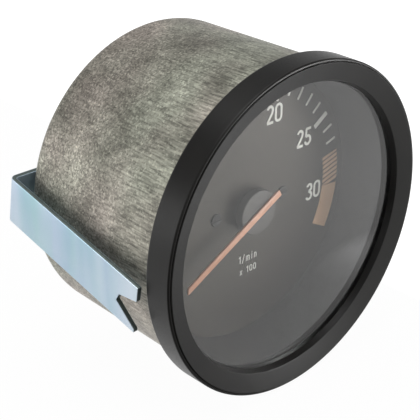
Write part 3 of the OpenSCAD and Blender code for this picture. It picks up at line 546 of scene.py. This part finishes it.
# Hub moulding: dark brownish grey plastic with a fine matt face.
hub_moulding = finish("hub_moulding", "#373431", "#3f3c38", 3.0, (0.45, 0.6), 0.15, 0.001)[0]
hub_r, hub_y, hub_wall, boss_r = 5.9, pointer_y + pointer_t, 0.7, 1.3
hub_floor, hub_back = hub_y + 0.8, hub_y + 2.2
hub = turned("hub_cap", [
    (0, hub_y), (hub_r, hub_y, 0.3), (hub_r, hub_back, 0.1), (hub_r - hub_wall, hub_back, 0.1),
    (hub_r - hub_wall, hub_floor), (boss_r, hub_floor), (boss_r, hub_back, 0.1), (0, hub_back)],
    hub_moulding, 96, False)
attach(hub, "moving_system")
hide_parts("pointer_hub")

# Clamp strap. Steel strip of 12.4 by 1.3 mm, sheared, notched at both ends, bent to a U and plated.
# It hangs loose on its studs and leans, with its front ends just behind the bezel.

# Blue-passivated zinc: bluish and violet tints in soft bands of 7 mm across the strip, with paler
# bands of 8 mm between them and paler ends.
band_w, pale_w, end_y, plain_y = 7.0, 8.0, 3, 14
blue_zinc, tree, shader, clouds = finish(
    "blue_zinc", "#a3c6ce", "#b0c2da", band_w, (0.28, 0.44), 0.4, 0.006, Metallic=0.75)
place = add(tree, "ShaderNodeTexCoord").outputs["Object"]
across = add(tree, "ShaderNodeMapping", {"Vector": place, "Scale": (1, 1, 0.22)})
tree.links.new(across.outputs["Vector"], clouds.inputs["Vector"])
pale = add(tree, "ShaderNodeTexNoise", {"Vector": across, "Scale": 1 / (pale_w * MM),
                                       "Detail": 1.0})
pale = add(tree, "ShaderNodeMapRange", {"Value": pale, "From Min": 0.35, "From Max": 0.75, "To Max": 0.5})
tint = shader.inputs["Base Color"].links[0].from_socket
depth = add(tree, "ShaderNodeSeparateXYZ", {"Vector": place}).outputs["Y"]
tipward = add(tree, "ShaderNodeMapRange", {"Value": depth, "From Min": end_y * MM,
                                           "From Max": plain_y * MM, "To Min": 0.7, "To Max": 0.0})
pale = add(tree, "ShaderNodeMath", {0: pale, 1: tipward}, operation="MAXIMUM")
banded = add(tree, "ShaderNodeMix", {"Factor": pale, "A": tint, "B": colour("#dfe9ef")},
             data_type="RGBA")
tree.links.new(next(s for s in banded.outputs if s.enabled), shader.inputs["Base Color"])

strap_w, strap_t, tilt = 12.4, 1.3, math.radians(11.7)
half = strap_w / 2
bar_gap, seat_gap, spare = 0.4, 0.6, 1.6
bar_y = can_back + bar_gap + half * math.sin(tilt)
leg_len = strap_t + (bar_y - half * math.sin(tilt) - seat_gap) / math.cos(tilt)
tip = strap_t - leg_len
out_x = 44.1
in_x = out_x - strap_t
bend = 0.5
lean = Matrix.Translation((0, bar_y * MM, stud_z * MM)) @ Matrix.Rotation(tilt, 4, "X")
strap = prism("strap", [
    (-out_x, tip - spare), (-in_x, tip - spare), (-in_x, 0, bend), (in_x, 0, bend), (in_x, tip - spare),
    (out_x, tip - spare), (out_x, strap_t, bend + strap_t), (-out_x, strap_t, bend + strap_t)],
    -half, half, blue_zinc, lean)

# The legs are drawn too long by spare and cut to a short prong above, a notch that runs back to its
# deepest point, and a slanted lower end. The cut leads forward by a little from its top to its foot.
# Heights count down from the strip's upper edge, and depths back from the tip.
lead = 0.6 / strap_w
prong, notch_top, notch_low, foot, below, clear = 3.7, 5.65, 7.8, 11.5, 13.4, 3.6
notch_top_deep, notch_low_deep, past_legs = 5.65, 6.4, 50
side_on = Matrix(((0, 0, 1, 0), (1, 0, 0, 0), (0, 1, 0, 0), (0, 0, 0, 1)))
notch = prism("cutter", [
    (tip - clear, half + 1), (tip + lead, half + 1), (tip - lead * prong, half - prong),
    (tip + notch_top_deep, half - notch_top), (tip + notch_low_deep, half - notch_low),
    (tip - lead * foot, half - foot), (tip - lead * below, half - below), (tip - clear, half - below)],
    -past_legs, past_legs, None, lean @ side_on)
stud_bore_r = 2.5
bores = [rod(stud_bore_r, -2, 4, side * stud_x) for side in (-1, 1)]
for bore in bores:
    bore.data.transform(lean)
strap = cut(strap, [notch] + bores, 0.16)

# Sheared steel: darker, rougher grey metal under thin zinc, on the faces across the strip's thickness.
sheared = finish("sheared_steel", "#5f6a68", "#717c7a", 1.5, (0.4, 0.55), 0.3, 0.01, Metallic=0.85)[0]
strap.data.materials.append(sheared)
edge_way = lean.to_3x3() @ Vector((0, 0, 1))
for face in strap.data.polygons:
    on_leg = abs(face.center.x) > in_x * MM and face.center.y < (bar_y - 2) * MM
    if abs(face.normal.dot(edge_way)) > 0.95 or (on_leg and abs(face.normal.x) < 0.2):
        face.material_index = 1
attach(strap, "strap")
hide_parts("clamp_strap")

# Studs, washers and knurled nuts. Two M4 studs stand in the can's back. The strap hangs on them,
# under plain washers and turned brass thumb nuts.

# Bright zinc plate: pale, clean metal with a clear shine.
bright_zinc = finish("bright_zinc", "#b9bcbd", "#cdd0d0", 2.5, (0.22, 0.36), 0.2, 0.002, Metallic=1.0)[0]

# Thread: a sheet rolled round the Y axis whose radius dips once in each pitch along a helix.
threading, start = tree_with(
    "Thread", Radius=("Float", 2 * MM), Depth=("Float", 0.4 * MM), Pitch=("Float", 0.7 * MM),
    Length=("Float", 20 * MM), Rings=("Int", 160), Material=("Material", None))
sheet = add(threading, "GeometryNodeMeshGrid", {"Size X": 1.0, "Size Y": 1.0, "Vertices X": 25,
                                                "Vertices Y": start.outputs["Rings"]})
spot = add(threading, "ShaderNodeSeparateXYZ", {"Vector": add(threading, "GeometryNodeInputPosition")})
turns = add(threading, "ShaderNodeMath", {0: spot.outputs["X"], 1: 0.5}, operation="ADD")
share = add(threading, "ShaderNodeMath", {0: spot.outputs["Y"], 1: 0.5}, operation="ADD")
rise = add(threading, "ShaderNodeMath", {0: share, 1: start.outputs["Length"]}, operation="MULTIPLY")
pitches = add(threading, "ShaderNodeMath", {0: rise, 1: start.outputs["Pitch"]}, operation="DIVIDE")
phase = add(threading, "ShaderNodeMath", {0: pitches, 1: turns}, operation="SUBTRACT")
wave = add(threading, "ShaderNodeMath", {0: phase, 1: 0.5}, operation="PINGPONG")
flank = add(threading, "ShaderNodeMapRange", {"Value": wave, "From Min": 0.1, "From Max": 0.42,
                                              "To Min": 0.0, "To Max": 1.0})
chamfer = add(threading, "ShaderNodeMapRange", {"Value": share, "From Min": 0.955, "From Max": 1.0,
                                                "To Min": 0.0, "To Max": 1.2})
dip = add(threading, "ShaderNodeMath", {0: flank, 1: chamfer}, operation="MAXIMUM")
drop = add(threading, "ShaderNodeMath", {0: dip, 1: start.outputs["Depth"]}, operation="MULTIPLY")
radius = add(threading, "ShaderNodeMath", {0: start.outputs["Radius"], 1: drop}, operation="SUBTRACT")
around = add(threading, "ShaderNodeMath", {0: turns, 1: math.tau}, operation="MULTIPLY")
cosine = add(threading, "ShaderNodeMath", {0: around}, operation="COSINE")
sine = add(threading, "ShaderNodeMath", {0: around}, operation="SINE")
side_x = add(threading, "ShaderNodeMath", {0: radius, 1: cosine}, operation="MULTIPLY")
side_z = add(threading, "ShaderNodeMath", {0: radius, 1: sine}, operation="MULTIPLY")
spot = add(threading, "ShaderNodeCombineXYZ", {"X": side_x, "Y": rise, "Z": side_z})
rolled = add(threading, "GeometryNodeSetPosition", {"Geometry": sheet, "Position": spot})
end_tree(threading, rolled, start)

stud_out, stud_r, thread_depth, thread_pitch = 20.0, 2.0, 0.4, 0.7
thread = piece("threaded_studs", bpy.data.meshes.new("thread"), None)
grow(thread, threading, bright_zinc, Radius=stud_r * MM, Depth=thread_depth * MM, Pitch=thread_pitch * MM,
     Length=stud_out * MM, Rings=172)
studs = repeated(settle(thread, 60), 2, (-stud_x, can_back, stud_z), (2 * stud_x, 0, 0))
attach(studs, "housing")
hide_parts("studs")

washer_r, washer_hole, washer_t = 5, 2.2, 0.8
washer_y = bar_y + strap_t * math.cos(tilt) + washer_r * math.sin(tilt) + 0.1
washers = turned("flat_washers", [
    (washer_hole, 0, 0.08), (washer_r, 0, 0.15), (washer_r, washer_t, 0.15), (washer_hole, washer_t, 0.08)],
    bright_zinc, 64)
washers = repeated(washers, 2, (-stud_x, washer_y, stud_z), (2 * stud_x, 0, 0))
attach(washers, "strap")
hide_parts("washers")

# Turned brass: warm yellow metal with a bright shine.
brass = finish("turned_brass", "#c9a655", "#d6b565", 2.0, (0.22, 0.34), 0.1, 0.002, Metallic=1.0)[0]

# Knurl: ridges pressed into the rim, by drawing its outer points inwards in waves round the axis.
knurling, start = tree_with("Knurl", Ridges=("Int", 40), Depth=("Float", 0.3 * MM), Rim=("Float", 5 * MM),
                            Material=("Material", None))
spot = add(knurling, "ShaderNodeSeparateXYZ", {"Vector": add(knurling, "GeometryNodeInputPosition")})
angle = add(knurling, "ShaderNodeMath", {0: spot.outputs["X"], 1: spot.outputs["Z"]}, operation="ARCTAN2")
share = add(knurling, "ShaderNodeMath", {0: angle, 1: math.tau}, operation="DIVIDE")
count = add(knurling, "ShaderNodeMath", {0: share, 1: start.outputs["Ridges"]}, operation="MULTIPLY")
wave = add(knurling, "ShaderNodeMath", {0: count, 1: 0.5}, operation="PINGPONG")
dip = add(knurling, "ShaderNodeMath", {0: wave, 1: 2.0}, operation="MULTIPLY")
drop = add(knurling, "ShaderNodeMath", {0: dip, 1: start.outputs["Depth"]}, operation="MULTIPLY")
flat = add(knurling, "ShaderNodeCombineXYZ", {"X": spot.outputs["X"], "Z": spot.outputs["Z"]})
reach = add(knurling, "ShaderNodeVectorMath", {0: flat}, operation="LENGTH").outputs["Value"]
inward = add(knurling, "ShaderNodeVectorMath", {0: flat}, operation="NORMALIZE")
back = add(knurling, "ShaderNodeMath", {0: drop, 1: -1.0}, operation="MULTIPLY")
move = add(knurling, "ShaderNodeVectorMath", {0: inward, "Scale": back}, operation="SCALE")
outer = add(knurling, "FunctionNodeCompare", {"A": reach, "B": start.outputs["Rim"]}, data_type="FLOAT",
            operation="GREATER_THAN")
pressed = add(knurling, "GeometryNodeSetPosition", {"Geometry": start.outputs["Geometry"], "Selection": outer,
                                                    "Offset": move.outputs["Vector"]})
end_tree(knurling, pressed, start)

nut_y, bore_r, collar_r, collar_t = washer_y + 0.85, 2.05, 4.7, 1.2
knurl_r, knurl_inner_r, ridge, nut_t = 5.5, 5.05, 0.3, 5
for side, word in ((-1, "left"), (1, "right")):
    nut = turned("thumb_nut_" + word, [
        (bore_r, 0, 0.2), (collar_r, 0, 0.15), (collar_r, collar_t, 0.1), (knurl_r, collar_t, 0.25),
        (knurl_r, nut_t, 0.35), (4.3, nut_t, 0.1), (4.1, 4.7, 0.1), (3.1, 4.7, 0.1), (2.9, nut_t, 0.1),
        (bore_r, nut_t, 0.25)], brass, 240)
    grow(nut, knurling, brass, Ridges=40, Depth=ridge * MM, Rim=knurl_inner_r * MM)
    settle(nut, 40)
    nut.data.transform(Matrix.Translation((side * stud_x * MM, nut_y * MM, stud_z * MM)))
    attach(nut, "nut_" + word)
    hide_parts("knurled_nut_" + word)

# Terminals. A black moulded block sits in the can's back. Four stamped blades pass through pockets
# in it, each with a latch hole for its connector.

# Tinned brass: pale, slightly warm grey metal with a soft shine.
tinned = finish("tinned_brass", "#b4b3ac", "#c6c5be", 2.5, (0.28, 0.42), 0.2, 0.002, Metallic=1.0)[0]
block_front, block_back, block_half_w, block_half_h = 45.2, 50.3, 16.8, 4.3
terminals = block((-block_half_w, block_half_w), (block_front, block_back),
                  (terminal_z - block_half_h, terminal_z + block_half_h))
terminals.name = "terminal_carrier"
terminals.data.materials.append(moulding)
blade_places, blade_step = (-12, -4, 4, 12), 8
pocket_half_w, pocket_half_h, pocket_deep, outside = 1.3, 3.6, 0.9, 52
pockets = [block((x - pocket_half_w, x + pocket_half_w), (block_back - pocket_deep, outside),
                 (terminal_z - pocket_half_h, terminal_z + pocket_half_h)) for x in blade_places]
terminals = cut(terminals, pockets, 0.25)
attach(terminals, "housing")
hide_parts("terminal_block")

root_y, tip_y, latch_y, latch_r = 36.4, 58.3, 54.3, 0.8
blade_half_w, tail_half_w, blade_half_t, point = 3.15, 0.7, 0.4, 1.2
blade = prism("blades", [
    (root_y, -tail_half_w), (block_front, -tail_half_w), (block_front, -blade_half_w),
    (tip_y - point, -blade_half_w, 0.3), (tip_y, point - blade_half_w, 0.3),
    (tip_y, blade_half_w - point, 0.3), (tip_y - point, blade_half_w, 0.3), (block_front, blade_half_w),
    (block_front, tail_half_w), (root_y, tail_half_w)], -blade_half_t, blade_half_t, tinned, side_on)
latch_ways = [i * math.tau / 32 for i in range(32)]
latch = prism("cutter", [(latch_y + latch_r * math.cos(a), latch_r * math.sin(a)) for a in latch_ways],
              -2, 2, None, side_on)
blades = repeated(cut(blade, [latch], 0.12), 4, (blade_places[0], 0, terminal_z), (blade_step, 0, 0))
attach(blades, "housing")
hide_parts("terminal_blades")

# Lamp. A moulded holder pushes into the can's back. It carries a wedge lamp in front, which shines
# into the light box, and two blades behind.

# Holder moulding: slightly paler, matt black plastic. Lamp glass: clear and smooth.
holder_moulding = finish("holder_moulding", "#2a2a29", "#353533", 5.0, (0.45, 0.6), 0.25, 0.006)[0]
dress(holder_moulding, "lamp_holder")
dress(tinned, "lamp_contacts")
bulb_glass = finish("lamp_glass", "#f4f2ea", "#ffffff", 20.0, (0.0, 0.03), 5.0, 0.0,
                    Transmission_Weight=1.0, IOR=1.5)[0]
dress(bulb_glass, "lamp_bulb")

# Works inside the can. A light box carries the dial, and behind it stand the crossed-coil movement
# in its steel cup and the circuit board. They are the frame's own solids, and only get finishes.

# White moulding: smooth, slightly creamy plastic that spreads the lamp's light.
white_moulding = finish("white_moulding", "#dedbd0", "#e9e7de", 8.0, (0.4, 0.55), 0.3, 0.005)[0]
dress(white_moulding, "light_box", "movement_plate", "movement_posts")
dress(plated_steel, "stop_pins", "stop_arm", "spindle", "movement_screws", "board_screws", "case_posts")
dress(brass, "spring_stud", "hairspring", "front_bush", "rear_bush", "counterweight", "spring_collet")
dress(moulding, "coil_former_front", "coil_former_rear")

# Enamelled copper: reddish wire, wound so closely that it looks like satin. Shield steel: plain
# drawn steel, cool grey and smooth.
copper = finish("enamelled_copper", "#a35a2a", "#bb6c38", 1.0, (0.25, 0.4), 0.12, 0.02, Metallic=1.0)[0]
dress(copper, "inner_coil", "outer_coil")
shield = finish("shield_steel", "#8d9091", "#a2a5a5", 4.0, (0.3, 0.45), 0.3, 0.004, Metallic=1.0)[0]
dress(shield, "steel_cup")

# Board laminate: green lacquer on glass fibre. Chip epoxy: matt black. Capacitor sleeve: dark blue
# shrunk film with a gloss. Resistor lacquer: beige and glossy.
laminate = finish("board_laminate", "#2f5a35", "#3b6a3f", 3.0, (0.35, 0.5), 0.3, 0.005)[0]
dress(laminate, "circuit_board")
epoxy = finish("chip_epoxy", "#222222", "#2b2b2a", 2.0, (0.5, 0.65), 0.1, 0.003)[0]
dress(epoxy, "converter_chip")
sleeve = finish("capacitor_sleeve", "#27324f", "#313d5c", 3.0, (0.3, 0.4), 0.3, 0.003)[0]
dress(sleeve, "capacitors")
lacquer = finish("resistor_lacquer", "#c3ad80", "#d1bd93", 1.5, (0.3, 0.45), 0.2, 0.004)[0]
dress(lacquer, "resistors")

# Sintered magnet: dull, dark grey metal with a fine grain.
sintered = finish("sintered_magnet", "#4a4d52", "#5b5e63", 1.5, (0.45, 0.6), 0.15, 0.004, Metallic=0.8)[0]
dress(sintered, "rotor_magnet")

# Studio. A white paper floor lies just under the bezel's rim, in a white surrounding, with three soft
# lamps. Gloss sees the paper darker at the front left and pale at the right and behind, and the
# surrounding darker above, which gives black, glass and metal their shading.

floor_r, floor_z = 2.5, cad_box[0][2] - 0.2 * MM
bpy.ops.mesh.primitive_circle_add(vertices=64, radius=floor_r, fill_type="NGON", location=(0, 0, floor_z))
floor = bpy.context.active_object
floor.name = "floor"
paper = bpy.data.materials.new("white_paper")
paper.use_nodes = True
tree = paper.node_tree
tree.nodes.clear()
ray = add(tree, "ShaderNodeLightPath")
plain = add(tree, "ShaderNodeMath", {0: ray.outputs["Is Camera Ray"], 1: ray.outputs["Is Transmission Ray"]},
            operation="MAXIMUM")
spot = add(tree, "ShaderNodeSeparateXYZ", {"Vector": add(tree, "ShaderNodeTexCoord").outputs["Object"]})
# Paper as gloss sees it: it rises from dark at the left to white at the right, with a brighter patch
# at the right that fades out towards the front, and it is white behind the bezel.
level = add(tree, "ShaderNodeMapRange", {"Value": spot.outputs["X"], "From Min": -60 * MM,
                                         "From Max": 105 * MM, "To Min": 0.05, "To Max": 1.02})
fade = add(tree, "ShaderNodeMapRange", {"Value": spot.outputs["Y"], "From Min": -52 * MM,
                                        "From Max": -36 * MM})
patch = add(tree, "ShaderNodeMapRange", {"Value": spot.outputs["X"], "From Min": 25 * MM,
                                         "From Max": 64 * MM, "To Min": 0.0, "To Max": 1.3})
patch = add(tree, "ShaderNodeMath", {0: patch, 1: fade}, operation="MULTIPLY")
level = add(tree, "ShaderNodeMath", {0: level, 1: patch}, operation="MAXIMUM")
behind = add(tree, "ShaderNodeMapRange", {"Value": spot.outputs["Y"], "From Min": -20 * MM,
                                          "From Max": 8 * MM})
level = add(tree, "ShaderNodeMath", {0: level, 1: behind}, operation="MAXIMUM")
mirrored = ray.outputs["Is Glossy Ray"]
seen = add(tree, "ShaderNodeMath", {0: plain, 1: mirrored}, operation="MAXIMUM")
lift = add(tree, "ShaderNodeMath", {0: seen, 1: 0.97}, operation="MULTIPLY")
matt = add(tree, "ShaderNodeBsdfDiffuse", {"Color": (0.9, 0.9, 0.9, 1)})
level = add(tree, "ShaderNodeMath", {0: plain, 1: level}, operation="MAXIMUM")
glow = add(tree, "ShaderNodeEmission", {"Color": (1, 1, 1, 1), "Strength": level})
mixed = add(tree, "ShaderNodeMixShader", {0: lift, 1: matt, 2: glow})
add(tree, "ShaderNodeOutputMaterial", {"Surface": mixed})
floor.data.materials.append(paper)

world = bpy.data.worlds.new("studio")
bpy.context.scene.world = world
world.use_nodes = True
tree = world.node_tree
tree.nodes.clear()
ray = add(tree, "ShaderNodeLightPath")
way = add(tree, "ShaderNodeSeparateXYZ", {"Vector": add(tree, "ShaderNodeTexCoord").outputs["Generated"]})
sky = add(tree, "ShaderNodeMapRange", {"Value": way.outputs["Z"], "From Min": 0.05, "From Max": 0.6,
                                       "To Min": 0.7, "To Max": 0.3})
soft = add(tree, "ShaderNodeMapRange", {"Value": ray.outputs["Is Glossy Ray"], "To Min": 0.5, "To Max": sky})
plain = add(tree, "ShaderNodeMath", {0: ray.outputs["Is Camera Ray"], 1: ray.outputs["Is Transmission Ray"]},
            operation="MAXIMUM")
level = add(tree, "ShaderNodeMath", {0: plain, 1: soft}, operation="MAXIMUM")
add(tree, "ShaderNodeOutputWorld", {"Surface": add(tree, "ShaderNodeBackground", {
    "Color": (1, 1, 1, 1), "Strength": level})})

# Lamps, each with its name, place and size in metres, and power in watts.
aim = Vector((0, 0.01, 0))
lamps = (("overhead", (-0.1, 0.1, 0.75), 0.6, 3.0), ("left_back", (-0.5, 0.45, 0.05), 0.3, 0.5),
         ("right_low", (0.26, -0.3, 0.0), 0.12, 1.0))
for name, place, size, power in lamps:
    lamp = bpy.data.lights.new(name, "AREA")
    lamp.size = size
    lamp.energy = power
    stand = bpy.data.objects.new(name, lamp)
    stand.location = place
    stand.rotation_euler = (aim - Vector(place)).to_track_quat("-Z", "Y").to_euler()
    bpy.context.scene.collection.objects.link(stand)

# Camera, at the place, angle and roll that the photograph was taken with.
lens = bpy.data.cameras.new("camera")
lens.lens = 90.78
lens.clip_start = 0.01
camera = bpy.data.objects.new("camera", lens)
right, up = Vector((0.72645, -0.68722, 0)), Vector((0.31173, 0.32952, 0.89120))
back, roll = Vector((-0.61245, -0.64742, 0.45361)), 0.01035
across = right * math.cos(roll) + up * math.sin(roll)
above = up * math.cos(roll) - right * math.sin(roll)
eye = Vector((-168.07, -153.08, 118.62)) * MM
camera.matrix_world = Matrix.Translation(eye) @ Matrix((across, above, back)).transposed().to_4x4()
bpy.context.scene.collection.objects.link(camera)
bpy.context.scene.camera = camera
bpy.context.scene.view_settings.view_transform = "Standard"
